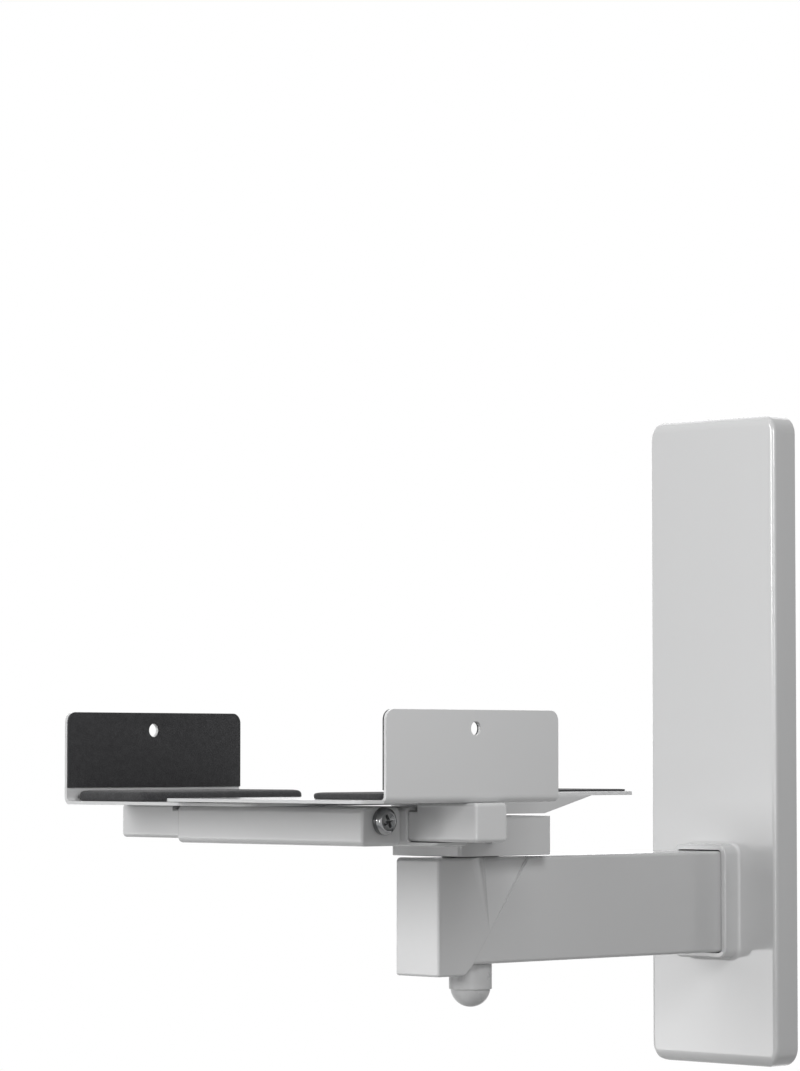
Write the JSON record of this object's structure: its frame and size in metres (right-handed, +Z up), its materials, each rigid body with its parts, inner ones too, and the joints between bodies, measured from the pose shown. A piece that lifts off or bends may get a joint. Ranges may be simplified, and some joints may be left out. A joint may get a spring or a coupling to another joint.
{
  "type": "speaker wall bracket",
  "caption": "White wall bracket for a bookshelf speaker: tall cover plate, arm with swivel and tilt, and a side clamp whose padded ears are drawn in by screws.",
  "frame": {"origin": "on the wall, at the centre of the wall plate's back face", "axes": "+X to the right along the wall, +Y into the wall, +Z up; the arm stands out along -Y"},
  "size_m": [0.1776, 0.301, 0.275],
  "materials": {
    "white_paint": "semi-gloss powder coat",
    "cover_white": "gloss moulded plastic",
    "cap_white": "satin moulded plastic",
    "plated_steel": "bright zinc plate",
    "bare_steel": "dull zinc plate",
    "foam": "matt closed-cell foam",
    "friction_ring": "matt moulded plastic"
  },
  "bodies": {
    "base": {"wall_plate": "bare_steel", "cover": "cover_white", "arm_foot": "bare_steel", "foot_bolts": "plated_steel", "arm_tube": "white_paint", "arm_nose": "white_paint", "swivel_disc": "friction_ring", "swivel_seat": "plated_steel"},
    "head": {"swivel_head": "white_paint", "swivel_bolt": "plated_steel", "swivel_spring": "plated_steel", "swivel_nut": "plated_steel", "nut_cap": "cap_white", "tilt_bolt": "plated_steel", "tilt_nut": "plated_steel", "tilt_spacer": "plated_steel", "tilt_washers": "friction_ring"},
    "cradle": {"cradle": "white_paint", "cradle_pad": "foam", "rail_screws": "plated_steel", "rear_rail": "white_paint", "front_rail": "white_paint"},
    "front_screw": {"front_screw": "plated_steel", "front_clip": "plated_steel"},
    "rear_screw": {"rear_screw": "plated_steel", "rear_clip": "plated_steel"},
    "right_clamp": {"right_slider": "white_paint", "right_insert": "plated_steel", "right_plate": "white_paint", "right_plate_screws": "plated_steel", "right_base_pad": "foam", "right_ear_pad": "foam"},
    "left_clamp": {"left_slider": "white_paint", "left_insert": "plated_steel", "left_plate": "white_paint", "left_plate_screws": "plated_steel", "left_base_pad": "foam", "left_ear_pad": "foam"}
  },
  "joints": [
    {"name": "swivel", "type": "hinge", "parent": "base", "child": "head", "pos_m": [0, -0.1615, -0.0464], "axis": [0, 0, 1], "range_deg": [-90, 90]},
    {"name": "tilt", "type": "hinge", "parent": "head", "child": "cradle", "pos_m": [0, -0.176, -0.0353], "axis": [1, 0, 0], "range_deg": [-10, 15]},
    {"name": "right_slide", "type": "slide", "parent": "cradle", "child": "right_clamp", "axis": [1, 0, 0], "range_m": [-0.0034, 0.04]},
    {"name": "left_slide", "type": "slide", "parent": "cradle", "child": "left_clamp", "axis": [-1, 0, 0], "range_m": [-0.0175, 0.026]},
    {"name": "rear_screw_turn", "type": "hinge", "parent": "cradle", "child": "rear_screw", "pos_m": [0, -0.2339, -0.03135], "axis": [-1, 0, 0], "range_deg": [-1755, 20580]},
    {"name": "front_screw_turn", "type": "hinge", "parent": "cradle", "child": "front_screw", "pos_m": [0, -0.2545, -0.03135], "axis": [1, 0, 0], "range_deg": [-9010, 13380]}
  ],
  "couplings": [
    {"joint": "rear_screw_turn", "follows": "right_slide", "rad_per_m": 8976},
    {"joint": "front_screw_turn", "follows": "left_slide", "rad_per_m": 8976}
  ]
}
